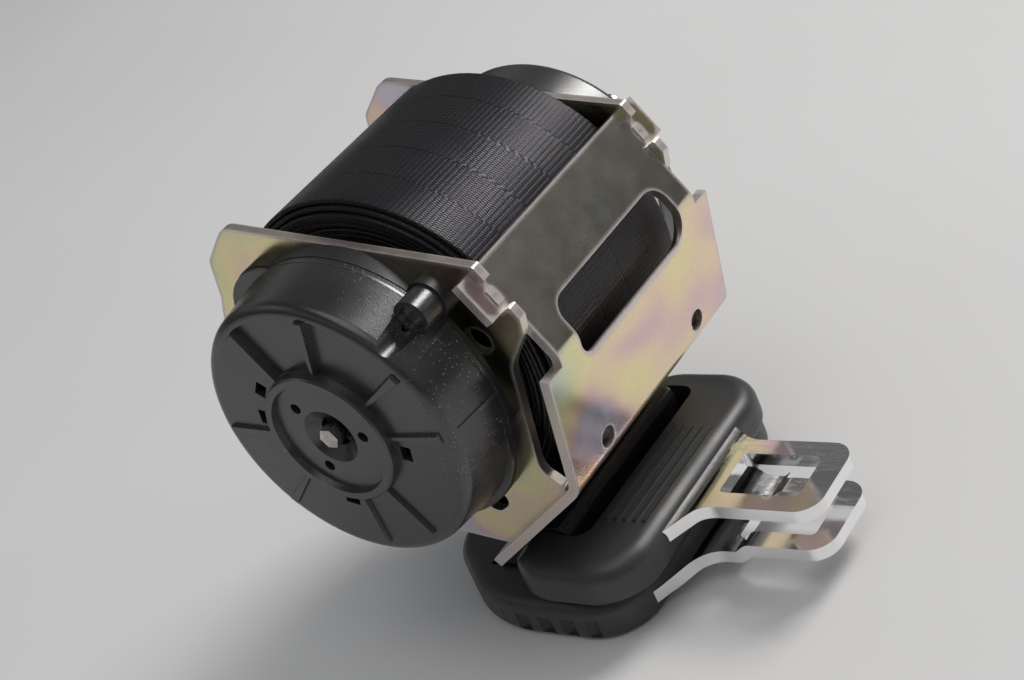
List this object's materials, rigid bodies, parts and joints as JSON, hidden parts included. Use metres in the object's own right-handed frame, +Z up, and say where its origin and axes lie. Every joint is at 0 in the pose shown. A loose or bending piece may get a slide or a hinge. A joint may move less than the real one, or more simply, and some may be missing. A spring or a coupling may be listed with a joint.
{
  "type": "seat belt retractor",
  "caption": "Seat belt retractor with wound webbing between steel side plates, a folded mounting bracket, covered spring and locking ends, and two latch tongues.",
  "frame": {"origin": "bottom centre of the bounding box, on the surface under the end tongue's grip", "axes": "+X along the spool axis from the spring cover to the lock cover, -Y along the tongues' blades, +Z up"},
  "size_m": [0.0918, 0.112, 0.099],
  "materials": {
    "zinc_steel": "yellow passivated zinc plate",
    "plain_steel": "bright steel",
    "chrome_plate": "bright chrome plate",
    "cover_plastic": "satin moulded",
    "black_plastic": "moulded",
    "grip_plastic": "fine grain",
    "white_plastic": "acetal",
    "webbing": "ribbed polyester weave"
  },
  "bodies": {
    "frame": {"side_plate_near": "zinc_steel", "side_plate_far": "zinc_steel", "mounting_bracket": "zinc_steel", "near_bush": "white_plastic", "far_bush": "white_plastic", "spring_base": "black_plastic", "spring_cover": "cover_plastic", "spring_cover_screw": "plain_steel", "return_spring": "plain_steel", "pawl_pivot_pin": "plain_steel", "lock_base": "black_plastic", "lock_cover": "cover_plastic", "lock_cover_screws": "plain_steel", "webbing_lead": "webbing"},
    "spool": {"spool_core": "black_plastic", "webbing_anchor_pin": "plain_steel", "torsion_shaft": "plain_steel", "webbing_roll": "webbing", "spring_arbor": "white_plastic", "ratchet_wheel": "plain_steel"},
    "pawl": {"locking_pawl": "plain_steel"},
    "lock_cup": {"lock_cup": "white_plastic"},
    "inertia_wheel": {"inertia_wheel": "plain_steel"},
    "sensor_ball": {"sensor_ball": "plain_steel"},
    "sensor_lever": {"sensor_lever": "white_plastic"},
    "sliding_tongue": {"sliding_tongue_plate": "chrome_plate", "sliding_tongue_grip": "grip_plastic", "webbing_tail": "webbing"},
    "end_tongue": {"end_tongue_plate": "chrome_plate", "end_grip_upper": "grip_plastic", "end_grip_lower": "grip_plastic"}
  },
  "joints": [
    {"name": "belt_pull", "type": "slide", "parent": "frame", "child": "sliding_tongue", "axis": [0, -1, 0], "range_m": [0, 0.2292], "stiffness_N_per_m": 8, "springref_m": -0.6, "deforming": ["webbing_lead"]},
    {"name": "spool_spin", "type": "hinge", "parent": "frame", "child": "spool", "pos_m": [0.00255, 0.01685, 0.0625], "axis": [-1, 0, 0], "range_deg": [0, 360], "deforming": ["return_spring"]},
    {"name": "end_tongue_slide", "type": "slide", "parent": "sliding_tongue", "child": "end_tongue", "axis": [0, 1, 0], "range_m": [0, 0.025], "deforming": ["webbing_tail"]},
    {"name": "lock_cup_turn", "type": "hinge", "parent": "frame", "child": "lock_cup", "pos_m": [0.03665, 0.01685, 0.0625], "axis": [-1, 0, 0], "range_deg": [0, 18], "stiffness_Nm_per_rad": 0.01, "springref_deg": -28.65},
    {"name": "pawl_swing", "type": "hinge", "parent": "frame", "child": "pawl", "pos_m": [0.03175, 0.03724, 0.05299], "axis": [1, 0, 0], "range_deg": [0, 10]},
    {"name": "inertia_lag", "type": "hinge", "parent": "spool", "child": "inertia_wheel", "pos_m": [0.03925, 0.01685, 0.0625], "axis": [1, 0, 0], "range_deg": [0, 15], "stiffness_Nm_per_rad": 0.005, "springref_deg": -17.19},
    {"name": "sensor_ball_roll", "type": "hinge", "parent": "lock_cup", "child": "sensor_ball", "pos_m": [0.03995, 0.01685, 0.0447], "axis": [1, 0, 0], "range_deg": [0, 12]},
    {"name": "sensor_lever_lift", "type": "hinge", "parent": "lock_cup", "child": "sensor_lever", "pos_m": [0.03925, 0.02525, 0.0429], "axis": [-1, 0, 0], "range_deg": [0, 8]}
  ],
  "couplings": [
    {"joint": "spool_spin", "follows": "belt_pull", "rad_per_m": 27.397},
    {"joint": "pawl_swing", "follows": "lock_cup_turn", "ratio": 0.5551},
    {"joint": "sensor_lever_lift", "follows": "sensor_ball_roll", "ratio": 0.666}
  ]
}
